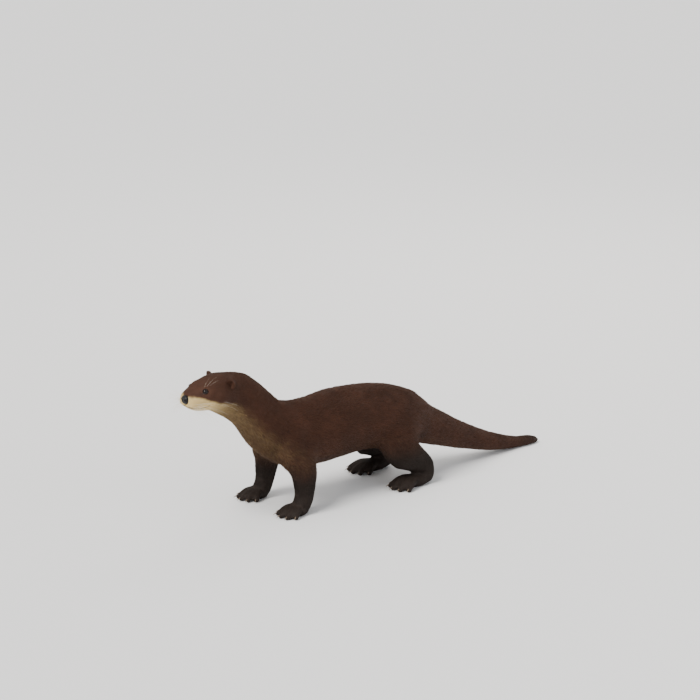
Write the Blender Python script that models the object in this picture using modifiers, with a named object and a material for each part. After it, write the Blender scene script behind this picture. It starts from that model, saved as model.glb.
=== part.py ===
"""A river otter at life size, standing on all four feet with its head up and its tail on the floor.

The frame is metres with +Z up. The otter looks along -Y and its left side is +X. The origin is on the
floor under the middle of its bounding box. Positions below are written as (side, forward, up), where
side is +X and forward is -Y.

The body is modelled whole: lofts for the head, the spine and the legs, and tapered tubes for the toes,
are fused by a voxel remesh, smoothed and thinned out. Regions then part it into its named pieces, with
a thin gap between neighbours. Ears, eyes, nose and claws are made on their own.
"""

import math

import bmesh
import bpy
import numpy as np
from mathutils import Matrix, Vector
from mathutils.bvhtree import BVHTree

# Overall sizes of a large adult, to the tips of the coat.
NOSE_FORWARD = 0.515
TAIL_TIP_FORWARD = -0.515
NOSE_HEIGHT = 0.292
HEAD_PITCH = math.radians(-5.0)
HEAD_LENGTH = 0.138
CHEEK = 0.0500
NECK = 0.0530
CHEST = 0.0815
HIPS = 0.0800
TAIL_ROOT = 0.0535
BACK_HEIGHT = 0.240
STANCE = 0.0755
FOREFOOT_FORWARD = 0.268
HINDFOOT_FORWARD = -0.068

# Small parts.
EYE_RADIUS = 0.0068
EAR_HEIGHT = 0.0094
NOSE_HALF_WIDTH = 0.0125
CLAW_LENGTH = 0.0108
CLAW_RADIUS = 0.0021

# Making.
GAP = 0.0004
VOXEL = 0.0024
BODY_TRIANGLES = 3030
SMOOTH_STEPS = 24
FLOOR_BITE = 0.0015
BIG = 0.6

# Where the legs are parted, above the floor.
WRIST = 0.044
ELBOW = 0.080
ANKLE = 0.044
KNEE = 0.0775

# Where the tail is parted: name, forward, up.
TAIL_CUTS = (
    ("tail_tip", -0.405, 0.020),
    ("tail_middle", -0.280, 0.0565),
    ("tail_base", -0.146, 0.118),
)

HEAD_FRAME = Matrix.Translation((0, -NOSE_FORWARD, NOSE_HEIGHT)) @ Matrix.Rotation(
    -HEAD_PITCH, 4, "X"
)

SIDES = (("left", 1), ("right", -1))
CUTTERS = bpy.data.collections.new("cutters")

FUR = ("fur", (0.075, 0.035, 0.020), 0.75)
DARK_FUR = ("dark_fur", (0.040, 0.027, 0.020), 0.75)
SKIN = ("nose_skin", (0.012, 0.010, 0.010), 0.45)
EYE = ("eye", (0.008, 0.006, 0.005), 0.05)
CLAW = ("claw", (0.10, 0.075, 0.055), 0.40)


def place(side, forward, up):
    """A point from (side, forward, up)."""
    return Vector((side, -forward, up))


def in_head(side, back, up):
    """A point from its place behind and above the tip of the nose, in the head's own frame."""
    return HEAD_FRAME @ Vector((side, back, up))


# ---------------------------------------------------------------- making and joining meshes


def material(finish):
    """The Principled material of a (name, colour, roughness) finish."""
    name, colour, roughness = finish
    found = bpy.data.materials.get(name)
    if found:
        return found
    made = bpy.data.materials.new(name)
    made.use_nodes = True
    shader = made.node_tree.nodes["Principled BSDF"]
    shader.inputs["Base Color"].default_value = (*colour, 1)
    shader.inputs["Roughness"].default_value = roughness
    shader.inputs["Metallic"].default_value = 0
    made.diffuse_color = (*colour, 1)
    return made


def object_of(bm, name, collection):
    """A new object from a bmesh, which is freed."""
    mesh = bpy.data.meshes.new(name)
    bm.normal_update()
    bm.to_mesh(mesh)
    bm.free()
    made = bpy.data.objects.new(name, mesh)
    collection.objects.link(made)
    return made


def applied(obj):
    """Replaces obj's mesh by its evaluated one, and clears its modifiers."""
    bpy.context.view_layer.update()
    graph = bpy.context.evaluated_depsgraph_get()
    mesh = bpy.data.meshes.new_from_object(obj.evaluated_get(graph))
    obj.modifiers.clear()
    obj.data = mesh
    return obj


def boolean(obj, other, operation):
    """Applies a Boolean of other to obj."""
    modifier = obj.modifiers.new(operation.lower(), "BOOLEAN")
    modifier.object = other
    modifier.operation = operation
    applied(obj)


def cutter(obj):
    """Marks obj as a helper that isn't part of the otter."""
    obj.hide_render = True
    obj.display_type = "WIRE"
    return obj


def spline(rows, step):
    """Rows of numbers, smoothly filled in every step metres along the line through their first three."""
    rows = np.array(rows, float)
    along = np.concatenate([[0], np.cumsum(np.linalg.norm(np.diff(rows[:, :3], axis=0), axis=1))])
    slopes = np.gradient(rows, along, axis=0)
    at = np.linspace(0, along[-1], max(2, round(along[-1] / step) + 1))
    left = np.clip(np.searchsorted(along, at, side="right") - 1, 0, len(rows) - 2)
    width = (along[left + 1] - along[left])[:, None]
    t = (at - along[left])[:, None] / width
    return (
        (2 * t**3 - 3 * t**2 + 1) * rows[left]
        + (t**3 - 2 * t**2 + t) * width * slopes[left]
        + (3 * t**2 - 2 * t**3) * rows[left + 1]
        + (t**3 - t**2) * width * slopes[left + 1]
    )


def loft(bm, rows, sides=36, step=0.008, across=(1, 0, 0), squareness=0.0):
    """A closed tube of oval rings. Each row is (x, y, z, half width, half height above, half below)."""
    rows = spline(rows, step)
    centres = rows[:, :3]
    tangents = np.gradient(centres, axis=0)
    power = 1 - squareness
    rings = []
    for centre, tangent, (width, above, below) in zip(centres, tangents, rows[:, 3:], strict=True):
        tangent = Vector(tangent).normalized()
        side = (Vector(across) - tangent * tangent.dot(Vector(across))).normalized()
        up = side.cross(tangent)
        ring = []
        for k in range(sides):
            turn = 2 * math.pi * k / sides
            c, s = math.cos(turn), math.sin(turn)
            out = math.copysign(abs(c) ** power, c) * width
            rise = math.copysign(abs(s) ** power, s) * (above if s > 0 else below)
            ring.append(bm.verts.new(Vector(centre) + side * out + up * rise))
        rings.append(ring)
    faces = [
        bm.faces.new((a[k], a[(k + 1) % sides], b[(k + 1) % sides], b[k]))
        for a, b in zip(rings, rings[1:])
        for k in range(sides)
    ]
    faces += [bm.faces.new(rings[0][::-1]), bm.faces.new(rings[-1])]
    bmesh.ops.recalc_face_normals(bm, faces=faces)
    return [v for ring in rings for v in ring]


def swell(verts, centre, radius, amount):
    """Pushes the surface within radius of centre out along its normals, most at the centre."""
    for v in verts:
        near = (v.co - centre).length / radius
        if near < 1:
            v.co += v.normal * amount * (1 - near**2) ** 2


def ball(bm, centre, radii, turn=Matrix.Identity(3), rings=12):
    """An ellipsoid of the three radii, turned by a rotation matrix."""
    shape = turn.to_4x4() @ Matrix.Diagonal((*radii, 1))
    return bmesh.ops.create_uvsphere(
        bm,
        u_segments=2 * rings,
        v_segments=rings,
        radius=1,
        matrix=Matrix.Translation(centre) @ shape,
    )["verts"]


# ---------------------------------------------------------------- the whole body


def spine_rows():
    """The trunk and neck from the tail's tip to inside the skull: centre and half sizes of each section."""
    waist = BACK_HEIGHT - CHEST

    def section(forward, up, width, above, below=None):
        return (*place(0, forward, up), width, above, above if below is None else below)

    return [
        section(TAIL_TIP_FORWARD, 0.0050, 0.0065, 0.0060),
        section(TAIL_TIP_FORWARD + 0.012, 0.0080, 0.0115, 0.0100),
        section(TAIL_TIP_FORWARD + 0.075, 0.0140, 0.0180, 0.0160),
        section(TAIL_TIP_FORWARD + 0.155, 0.0320, 0.0270, 0.0245),
        section(TAIL_TIP_FORWARD + 0.235, 0.0600, 0.0355, 0.0330),
        section(TAIL_TIP_FORWARD + 0.315, 0.0935, 0.0450, 0.0430),
        section(TAIL_TIP_FORWARD + 0.375, 0.1215, TAIL_ROOT, TAIL_ROOT),
        section(-0.085, 0.1480, 0.89 * HIPS, 0.84 * HIPS, 0.86 * HIPS),
        section(-0.030, waist + 0.002, HIPS, HIPS - 0.003, HIPS - 0.004),
        section(0.040, waist + 0.007, 0.96 * CHEST, CHEST - 0.003, CHEST),
        section(0.110, waist + 0.005, CHEST, CHEST - 0.001, CHEST + 0.004),
        section(0.180, waist + 0.001, 0.97 * CHEST, CHEST - 0.002, CHEST),
        section(0.240, waist + 0.008, 0.88 * CHEST, 0.94 * CHEST, 0.97 * CHEST),
        section(0.288, waist + 0.034, 1.22 * NECK, 1.26 * NECK, 1.30 * NECK),
        section(0.324, waist + 0.070, 1.06 * NECK, 1.10 * NECK, 1.12 * NECK),
        section(0.355, waist + 0.106, 1.00 * NECK, 0.99 * NECK, 1.04 * NECK),
        section(0.385, waist + 0.129, 0.97 * NECK, 0.91 * NECK, 0.96 * NECK),
        section(0.412, waist + 0.138, 0.87 * NECK, 0.72 * NECK, 0.78 * NECK),
    ]


def head_rows():
    """The head from the front of the lips to inside the neck, in distances behind the nose's tip."""
    crown = 0.78 * CHEEK

    def section(back, width, above, below):
        return (*in_head(0, back, 0), width, above, below)

    return [
        section(0.0046, 0.0130, 0.0054, 0.0146),
        section(0.0104, 0.0252, 0.0122, 0.0222),
        section(0.0190, 0.0320, 0.0182, 0.0278),
        section(0.0300, 0.0358, 0.0236, 0.0316),
        section(0.0430, 0.0392, 0.0290, 0.0345),
        section(0.0580, 0.0436, 0.0338, 0.0374),
        section(0.0750, 0.0480, 0.0375, 0.0400),
        section(0.0940, CHEEK, crown, 0.0420),
        section(0.1130, 0.98 * CHEEK, 0.97 * crown, 0.0430),
        section(0.1290, 0.86 * CHEEK, 0.83 * crown, 0.0390),
        section(HEAD_LENGTH + 0.006, 0.58 * CHEEK, 0.45 * crown, 0.0240),
    ]


def throat_rows():
    """The throat, which fills the corner between the jaw and the front of the neck."""

    def section(forward, up, width, depth):
        return (*place(0, forward, up), width, depth, depth)

    return [
        section(0.452, 0.2795, 0.0240, 0.0190),
        section(0.425, 0.2690, 0.0360, 0.0230),
        section(0.394, 0.2500, 0.0410, 0.0240),
        section(0.360, 0.2200, 0.0430, 0.0230),
        section(0.328, 0.1830, 0.0400, 0.0200),
    ]


FORELEG = [  # side, forward, up, half width, half depth
    (0.030, 0.262, 0.178, 0.028, 0.040),
    (0.052, 0.254, 0.134, 0.033, 0.045),
    (STANCE - 0.007, 0.242, 0.096, 0.0300, 0.0355),
    (STANCE - 0.002, 0.243, 0.067, 0.0262, 0.0290),
    (STANCE, FOREFOOT_FORWARD - 0.022, 0.040, 0.0235, 0.0225),
    (STANCE, FOREFOOT_FORWARD - 0.014, 0.018, 0.0235, 0.0200),
]

HINDLEG = [
    (0.026, -0.056, 0.170, 0.034, 0.056),
    (0.049, -0.038, 0.123, 0.038, 0.060),
    (STANCE - 0.009, -0.042, 0.088, 0.0320, 0.0480),
    (STANCE - 0.002, -0.074, 0.063, 0.0265, 0.0335),
    (STANCE, HINDFOOT_FORWARD - 0.034, 0.041, 0.0225, 0.0235),
    (STANCE, HINDFOOT_FORWARD - 0.035, 0.022, 0.0218, 0.0205),
    (STANCE, HINDFOOT_FORWARD - 0.032, 0.005, 0.0190, 0.0165),
]


class Foot:
    """A webbed foot's sizes: where its toes fan from, their lengths, spread and thickness."""

    def __init__(self, forward, palm, root, reach, thickness, spread):
        self.forward = forward
        self.palm = palm
        self.root = root
        self.reach = reach
        self.thickness = thickness
        self.spread = [math.radians(a) for a in spread]

    def toe(self, mirror, k):
        """The k-th toe's middle line, from inside the foot to its tip, k from 0 on the inner side."""
        turn = self.spread[k]
        heading = Vector((mirror * math.sin(turn), -math.cos(turn), 0))
        start = place(mirror * STANCE, self.root, 0.4 * self.thickness)
        reach = self.reach[k]
        line = []
        for share, rise in ((0.35, 1.75), (0.62, 1.80), (0.84, 1.18), (1.0, 0.46)):
            line.append(start + heading * reach * share + Vector((0, 0, rise * self.thickness)))
        return line, heading


FOREFOOT = Foot(
    FOREFOOT_FORWARD,
    palm=(0.0245, 0.0250, 0.0150),
    root=FOREFOOT_FORWARD - 0.018,
    reach=(0.0490, 0.0580, 0.0610, 0.0590, 0.0500),
    thickness=0.0080,
    spread=(-36, -18, 0, 18, 36),
)
HINDFOOT = Foot(
    HINDFOOT_FORWARD,
    palm=(0.0235, 0.0420, 0.0160),
    root=HINDFOOT_FORWARD - 0.022,
    reach=(0.0650, 0.0780, 0.0830, 0.0810, 0.0710),
    thickness=0.0086,
    spread=(-28, -14, 0, 14, 28),
)


def add_leg(bm, rows, mirror):
    """A leg from inside the trunk down to inside the foot."""
    loft(
        bm,
        [(*place(mirror * side, ahead, up), wide, deep, deep) for side, ahead, up, wide, deep in rows],
        sides=28,
    )


def add_foot(bm, foot, mirror):
    """The palm, five toes and the webs between them, all sunk a little below the floor."""
    drop = Vector((0, 0, -FLOOR_BITE))
    palm = place(mirror * STANCE, foot.forward - 0.004, 0.85 * foot.palm[2]) + drop
    ball(bm, palm, foot.palm)
    lines = [foot.toe(mirror, k)[0] for k in range(5)]
    for line in lines:
        wide = foot.thickness
        sizes = (wide, 0.98 * wide, 0.95 * wide, 0.80 * wide)
        rows = [(*(p + drop), size, size, size) for p, size in zip(line, sizes, strict=True)]
        loft(bm, rows, sides=14, step=0.004)
        ball(bm, line[-1] + drop, (0.86 * wide, 0.86 * wide, 0.86 * wide), rings=8)
    for a, b in zip(lines, lines[1:]):
        web = [p for line in (a, b) for p in (line[0], line[1], line[2].lerp(line[3], 0.35))]
        low = [p + drop - Vector((0, 0, 0.70 * foot.thickness)) for p in web]
        high = [p + drop + Vector((0, 0, 0.10 * foot.thickness)) for p in web]
        corners = [bm.verts.new(p) for p in low + high]
        bmesh.ops.convex_hull(bm, input=corners)


def whole_body(collection):
    """The head, spine, legs and feet as overlapping closed shells in one mesh."""
    bm = bmesh.new()
    loft(bm, spine_rows())
    head = loft(bm, head_rows(), sides=44, step=0.004, squareness=0.07)
    loft(bm, throat_rows())
    bm.normal_update()
    for mirror in (1, -1):
        swell(head, in_head(mirror * 0.019, 0.017, -0.009), 0.018, 0.0042)  # whisker pads
        swell(head, in_head(mirror * 0.022, 0.042, 0.026), 0.016, 0.0022)  # brows
        swell(head, in_head(mirror * 0.042, 0.078, -0.014), 0.036, 0.0045)  # cheeks
        swell(head, in_head(mirror * 0.027, 0.036, 0.004), 0.012, -0.0015)  # under the eyes
    for mirror in (1, -1):
        ball(bm, place(mirror * 0.040, 0.250, 0.158), (0.040, 0.050, 0.060), rings=16)  # shoulder
        ball(bm, place(mirror * 0.040, -0.052, 0.136), (0.043, 0.064, 0.060), rings=16)  # haunch
        add_leg(bm, FORELEG, mirror)
        add_leg(bm, HINDLEG, mirror)
        add_foot(bm, FOREFOOT, mirror)
        add_foot(bm, HINDFOOT, mirror)
    return object_of(bm, "body", collection)


def share_of(value, low, high):
    """0 at low, 1 at high, smooth between."""
    t = min(1, max(0, (value - low) / (high - low)))
    return t * t * (3 - 2 * t)


def fineness(point):
    """How much of the fine shape a place keeps: 1 on the face, and 0 on the trunk."""
    back = (HEAD_FRAME.inverted() @ point).y
    head = 1 - share_of(back, 0.055, 0.120)
    foot = (1 - share_of(point.z, 0.026, 0.046)) * share_of(-point.y, -0.15, -0.12)
    tail = share_of(point.y, 0.20, 0.45)
    return max(head, 0.90 * foot, 0.55 * tail)


def fused(body):
    """Fuses the shells, smooths the joins away from the face and feet, and thins the triangles."""
    remesh = body.modifiers.new("fuse", "REMESH")
    remesh.mode = "VOXEL"
    remesh.voxel_size = VOXEL
    applied(body)
    fine = [fineness(v.co) for v in body.data.vertices]
    groups = {"smooth": [1 - 0.90 * f for f in fine], "thin": [1 - 0.70 * f for f in fine]}
    for name, weights in groups.items():
        group = body.vertex_groups.new(name=name)
        for index, weight in enumerate(weights):
            group.add([index], weight, "REPLACE")
    smooth = body.modifiers.new("smooth", "SMOOTH")
    smooth.factor = 0.6
    smooth.iterations = SMOOTH_STEPS
    smooth.vertex_group = "smooth"
    applied(body)
    thin = body.modifiers.new("thin", "DECIMATE")
    thin.ratio = BODY_TRIANGLES / (2 * len(body.data.polygons))
    thin.vertex_group = "thin"
    applied(body)
    body.vertex_groups.clear()
    mirror = body.modifiers.new("mirror", "MIRROR")
    mirror.use_bisect_axis[0] = True
    mirror.merge_threshold = 0.00005
    return applied(body)


# ---------------------------------------------------------------- parting the body


def box_region(corner, opposite, name="region"):
    """A box between two corners."""
    bm = bmesh.new()
    low = Vector(map(min, corner, opposite))
    high = Vector(map(max, corner, opposite))
    shape = Matrix.Translation((low + high) / 2) @ Matrix.Diagonal((*(high - low), 1))
    bmesh.ops.create_cube(bm, size=1, matrix=shape)
    return cutter(object_of(bm, name, CUTTERS))


def half_space(point, normal):
    """A big box whose one face passes through point, on the side that normal points to."""
    bm = bmesh.new()
    turn = normal.to_track_quat("Z", "X").to_matrix().to_4x4()
    middle = point + normal.normalized() * BIG / 2
    bmesh.ops.create_cube(bm, size=BIG, matrix=Matrix.Translation(middle) @ turn)
    return cutter(object_of(bm, "region", CUTTERS))


def oval_region(centre, radii):
    """An ellipsoid."""
    bm = bmesh.new()
    ball(bm, centre, radii, rings=9)
    return cutter(object_of(bm, "region", CUTTERS))


def grown(obj, margin=GAP):
    """A copy of obj with every face moved out by margin."""
    bm = bmesh.new()
    bm.from_mesh(obj.data)
    bm.normal_update()
    moves = [v.normal * margin * v.calc_shell_factor() for v in bm.verts]
    for v, move in zip(bm.verts, moves, strict=True):
        v.co += move
    return cutter(object_of(bm, "grown", CUTTERS))


def carve(body, region, name, finish, collection):
    """Takes the part of body inside region off it, as its own object, a gap away from what is left."""
    piece = bpy.data.objects.new(name, body.data.copy())
    collection.objects.link(piece)
    boolean(piece, region, "INTERSECT")
    boolean(body, grown(region), "DIFFERENCE")
    finished(piece, finish)
    return piece


def seat(host, guest):
    """Cuts a seat for guest in host, a gap wide all round."""
    boolean(host, grown(guest), "DIFFERENCE")


def finished(obj, finish):
    """Gives obj its one material and smooth shading with crisp cuts."""
    obj.data.materials.clear()
    obj.data.materials.append(material(finish))
    obj.data.shade_smooth()
    obj.data.set_sharp_from_angle(angle=math.radians(50))
    return obj


def part_body(body, collection):
    """Parts the whole body into its named pieces, and returns them by name. What is left is the trunk."""
    boolean(body, box_region((-BIG, -BIG, -0.05), (BIG, BIG, 0)), "DIFFERENCE")
    pieces = {}

    def take(name, region, finish=FUR):
        pieces[name] = carve(body, region, name, finish, collection)

    for side, mirror in SIDES:
        inner = mirror * 0.036
        outer = mirror * 0.150
        fore = place(inner, 0.190, -0.01), place(outer, 0.345, WRIST)
        hind = place(inner, -0.150, -0.01), place(outer, 0.040, ANKLE)
        take(f"forefoot_{side}", box_region(*fore), DARK_FUR)
        take(f"hindfoot_{side}", box_region(*hind), DARK_FUR)
        forearm = place(inner, 0.190, 0), place(outer, 0.330, ELBOW)
        shank = place(inner, -0.150, 0), place(outer, 0.040, KNEE)
        take(f"forearm_{side}", box_region(*forearm), DARK_FUR)
        take(f"shank_{side}", box_region(*shank), DARK_FUR)
        shoulder = oval_region(place(mirror * 0.068, 0.248, 0.127), (0.048, 0.058, 0.078))
        haunch = oval_region(place(mirror * 0.068, -0.048, 0.121), (0.053, 0.075, 0.080))
        take(f"upper_arm_{side}", shoulder)
        take(f"thigh_{side}", haunch)
    to_head = HEAD_FRAME.to_3x3() @ Vector((0, -0.95, 0.32))
    take("head", half_space(in_head(0, 0.116, 0), to_head))
    take("neck", half_space(place(0, 0.286, 0.194), Vector((0, -0.66, 0.75))))
    for name, forward, up in TAIL_CUTS:
        take(name, half_space(place(0, forward, up), Vector((0, 0.90, -0.42))))
    body.name = "trunk"
    pieces["trunk"] = finished(body, FUR)
    return pieces


# ---------------------------------------------------------------- ears, eyes, nose and claws


def on_surface(obj, start, aim, depth):
    """The point depth under obj's surface, where the line from start towards aim first meets it."""
    heading = (aim - start).normalized()
    mesh = obj.data
    tree = BVHTree.FromPolygons([v.co for v in mesh.vertices], [p.vertices for p in mesh.polygons])
    return tree.ray_cast(start, heading)[0] + heading * depth


def make_eye(side, mirror, head, collection):
    """An eyeball, sunk until only its front stands out of the head."""
    aim = in_head(mirror * 0.012, 0.052, 0.004)
    start = in_head(mirror * 0.075, 0.010, 0.050)
    centre = on_surface(head, start, aim, 0.82 * EYE_RADIUS)
    bm = bmesh.new()
    ball(bm, centre, (EYE_RADIUS, EYE_RADIUS, EYE_RADIUS), rings=7)
    return finished(object_of(bm, f"eye_{side}", collection), EYE)


def make_ear(side, mirror, head, collection):
    """A small round cup, hollow towards the front, with its root sunk in the head."""
    root = on_surface(head, in_head(mirror * 0.09, 0.106, 0.043), in_head(0, 0.098, 0.002), 0.001)
    turn = HEAD_FRAME.to_3x3()
    up = (turn @ Vector((mirror * 0.60, 0.34, 0.74))).normalized()
    front = turn @ Vector((mirror * 0.36, -0.93, 0.05))
    front = (front - up * front.dot(up)).normalized()
    wide = up.cross(front)
    axes = Matrix((wide, front, up)).transposed()
    bm = bmesh.new()
    verts = ball(bm, Vector(), (0.95 * EAR_HEIGHT, 0.0052, EAR_HEIGHT), rings=7)
    for v in verts:
        across = math.hypot(v.co.x / (0.95 * EAR_HEIGHT), v.co.z / EAR_HEIGHT)
        hollow = max(0, 1 - (across / 0.86) ** 2)
        if v.co.y > 0:
            v.co.y -= 0.0064 * hollow
        v.co.y += 0.0040 * across**2  # the rim curls forward
        v.co.y -= 0.0008
    bmesh.ops.transform(bm, matrix=Matrix.Translation(root + up * 0.0028) @ axes.to_4x4(), verts=bm.verts)
    bmesh.ops.recalc_face_normals(bm, faces=bm.faces)
    return finished(object_of(bm, f"ear_{side}", collection), FUR)


def make_nose(collection):
    """The bare nose pad, broad on top, with a nostril pitted into each side of its front."""
    bm = bmesh.new()
    width = NOSE_HALF_WIDTH
    verts = ball(bm, Vector(), (width, 0.72 * width, 0.74 * width), rings=9)
    for v in verts:
        v.co.x *= 1 + 0.16 * v.co.z / width  # narrower below
    bm.normal_update()
    for mirror in (1, -1):
        swell(verts, Vector((mirror * 0.52 * width, -0.60 * width, -0.10 * width)), 0.36 * width, -0.0030)
    place_in_head = HEAD_FRAME @ Matrix.Translation((0, 0.72 * width, 0))
    bmesh.ops.transform(bm, matrix=place_in_head, verts=bm.verts)
    return finished(object_of(bm, "nose", collection), SKIN)


def make_claw(name, foot, mirror, k, collection):
    """A short curved claw, rooted in the tip of the k-th toe."""
    line, heading = foot.toe(mirror, k)
    start = line[-1] + Vector((0, 0, 0.12 * foot.thickness)) + heading * 0.001
    rows = []
    for share in (0, 0.4, 0.75, 1):
        along = start + heading * CLAW_LENGTH * share - Vector((0, 0, 0.0042 * share**2))
        size = CLAW_RADIUS * (1 - 0.80 * share**1.5)
        rows.append((*along, 0.75 * size, size, size))
    bm = bmesh.new()
    loft(bm, rows, sides=6, step=0.0040)
    return finished(object_of(bm, name, collection), CLAW)


def main():
    """Builds the otter's named solids."""
    for obj in list(bpy.data.objects):
        bpy.data.objects.remove(obj)
    collection = bpy.data.collections.new("otter")
    for child in (collection, CUTTERS):
        bpy.context.scene.collection.children.link(child)
    pieces = part_body(fused(whole_body(collection)), collection)
    head = pieces["head"]
    nose = make_nose(collection)
    eyes = [make_eye(side, mirror, head, collection) for side, mirror in SIDES]
    ears = [make_ear(side, mirror, head, collection) for side, mirror in SIDES]
    for ear in ears:
        seat(ear, head)
    for guest in (nose, *eyes):
        seat(head, guest)
    for leg, foot in (("fore", FOREFOOT), ("hind", HINDFOOT)):
        for side, mirror in SIDES:
            for k in range(5):
                claw = make_claw(f"claw_{leg}_{side}_{k + 1}", foot, mirror, k, collection)
                seat(pieces[f"{leg}foot_{side}"], claw)


main()
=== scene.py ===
import math
from itertools import product

import bmesh
import bpy
import numpy as np
from mathutils import Matrix, Vector, noise
from mathutils.bvhtree import BVHTree


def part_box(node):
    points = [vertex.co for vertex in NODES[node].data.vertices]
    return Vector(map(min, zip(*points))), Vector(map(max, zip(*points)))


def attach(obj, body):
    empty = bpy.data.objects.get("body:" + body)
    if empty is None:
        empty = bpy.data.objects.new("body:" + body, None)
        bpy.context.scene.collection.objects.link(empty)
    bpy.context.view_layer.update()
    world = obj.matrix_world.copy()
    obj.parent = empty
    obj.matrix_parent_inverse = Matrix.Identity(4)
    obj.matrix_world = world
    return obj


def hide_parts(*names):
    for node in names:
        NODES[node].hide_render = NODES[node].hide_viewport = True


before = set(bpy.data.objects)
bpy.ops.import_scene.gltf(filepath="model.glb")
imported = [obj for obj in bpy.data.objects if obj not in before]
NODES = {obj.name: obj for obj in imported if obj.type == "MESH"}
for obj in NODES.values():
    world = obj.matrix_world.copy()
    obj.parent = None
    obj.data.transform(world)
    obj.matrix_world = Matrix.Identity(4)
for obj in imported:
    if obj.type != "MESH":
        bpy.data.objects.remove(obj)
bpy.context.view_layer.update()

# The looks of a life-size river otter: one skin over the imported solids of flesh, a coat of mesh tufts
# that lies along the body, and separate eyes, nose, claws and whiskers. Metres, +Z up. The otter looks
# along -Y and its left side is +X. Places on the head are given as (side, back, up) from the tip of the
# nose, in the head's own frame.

SIDES = (("left", 1), ("right", -1))
MM = 0.001
RNG = np.random.default_rng(41)

HEAD_PITCH = math.radians(-5.0)
ROWS_AT_ONCE = 8000

# The skin.
WELD = 0.002 * MM
FLESH_OVERLAP = 0.6 * MM
SHARPEST_CORNER = 1.6  # overlaps that a corner grows by at most
VOXEL = 2.4 * MM
SMOOTH_STEPS = 150
OWN_SHARE = 0.3  # that a vertex keeps when averaged with its neighbours
SKIN_LOWEST = 0.3 * MM
SKIN_TRIANGLES = 185_000

# Lengths back from the nose's tip, in the head's frame.
LIP_CLEFT_END = 0.020
FINE_FACE_END = 0.078
SOFT_FACE_END = 0.080
HEAD_END = 0.115

# The coat.
HAIR_LOWEST = 0.2 * MM
ROOT_BACK = 0.12
RIDGE_HEIGHT = 0.42
WAVE_SCALE = 38
FINE_SCALE = 110
SPECK_SCALE = 320
CROWDING = 0.86
UV_PATCH = 0.003
PIECE_TRIANGLES = 196_000


def ramp(value, low, high):
    """0 at low, 1 at high, smooth between. Works on arrays."""
    t = np.clip((value - low) / (high - low), 0, 1)
    return t * t * (3 - 2 * t)


def mix(a, b, t):
    """a where t is 0 and b where t is 1."""
    return a + (b - a) * t


def bell(value, width):
    """1 at 0, falling smoothly to nearly 0 at twice the width."""
    return np.exp(-((value / width) ** 2))


def unit(rows):
    """Rows of vectors at length 1."""
    return rows / np.maximum(np.linalg.norm(rows, axis=-1, keepdims=True), 1e-12)


# ---------- places, read from the frame


def middle(node):
    """The middle of a node's box."""
    low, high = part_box(node)
    return (low + high) / 2


def end_middle(node, direction):
    """The middle of a node's flat end that faces direction."""
    co = np.array([v.co for v in NODES[node].data.vertices])
    reach = co @ np.array(Vector(direction).normalized())
    ring = co[reach > reach.max() - 1.0 * MM]
    return Vector((ring.min(0) + ring.max(0)) / 2)


NOSE_TIP = Vector((0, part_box("nose")[0].y, middle("nose").z))
HEAD_FRAME = Matrix.Translation(NOSE_TIP) @ Matrix.Rotation(-HEAD_PITCH, 4, "X")
TO_HEAD = np.array(HEAD_FRAME.inverted())
EYE_RADIUS = max(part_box("eye_left")[1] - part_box("eye_left")[0]) / 2
NOSE_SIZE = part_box("nose")[1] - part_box("nose")[0]
# The directions that cuts between solids face. The head's is in the head's frame.
TAIL_CUT = (0, 0.90, -0.42)
NECK_CUT = (0, -0.66, 0.75)
HEAD_CUT = (0, -0.95, 0.32)
LEGS_PART = (middle("forefoot_left").y + middle("hindfoot_left").y) / 2


def in_head(side, back, up):
    """A point of the world from its place in the head's frame."""
    return HEAD_FRAME @ Vector((side, back, up))


def head_places(co):
    """Points of the world in the head's frame, as rows of (side, back, up)."""
    return co @ TO_HEAD[:3, :3].T + TO_HEAD[:3, 3]


def head_directions(rows):
    """Directions from the head's frame, as directions of the world."""
    return np.asarray(rows) @ np.array(HEAD_FRAME)[:3, :3].T


def head_vector(side, back, up):
    """One direction of the head's frame, as a direction of the world of length 1."""
    return Vector(head_directions([side, back, up])).normalized()


def distance_to(pair, co):
    """The distance from each point to the nearer middle of the two eyes or the two ears."""
    middles = [np.array(middle(f"{pair}_{side}")) for side, _ in SIDES]
    return np.minimum(*[np.linalg.norm(co - place, axis=1) for place in middles])


# ---------- lines that the coat follows


class Line:
    """A smooth line through points, sampled finely, with the distance along it."""

    def __init__(self, points, count=220):
        points = np.array([tuple(p) for p in points])
        knots = np.concatenate([[0], np.cumsum(np.linalg.norm(np.diff(points, axis=0), axis=1))])
        slopes = np.gradient(points, knots, axis=0)
        at = np.linspace(0, knots[-1], count)
        left = np.clip(np.searchsorted(knots, at, side="right") - 1, 0, len(points) - 2)
        width = (knots[left + 1] - knots[left])[:, None]
        t = (at - knots[left])[:, None] / width
        self.points = (
            (2 * t**3 - 3 * t**2 + 1) * points[left]
            + (t**3 - 2 * t**2 + t) * width * slopes[left]
            + (3 * t**2 - 2 * t**3) * points[left + 1]
            + (t**3 - t**2) * width * slopes[left + 1]
        )
        self.along = at
        self.tangents = unit(np.gradient(self.points, axis=0))

    def nearest(self, co):
        """For each point: distance along the line, offset from it, and its direction there."""
        found = np.empty(len(co), int)
        for start in range(0, len(co), ROWS_AT_ONCE):
            block = slice(start, start + ROWS_AT_ONCE)
            gaps = ((co[block, None, :] - self.points[None]) ** 2).sum(2)
            found[block] = gaps.argmin(1)
        offset = co - self.points[found]
        tangent = self.tangents[found]
        ahead = (offset * tangent).sum(1)
        return self.along[found] + ahead, offset - tangent * ahead[:, None], tangent


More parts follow.
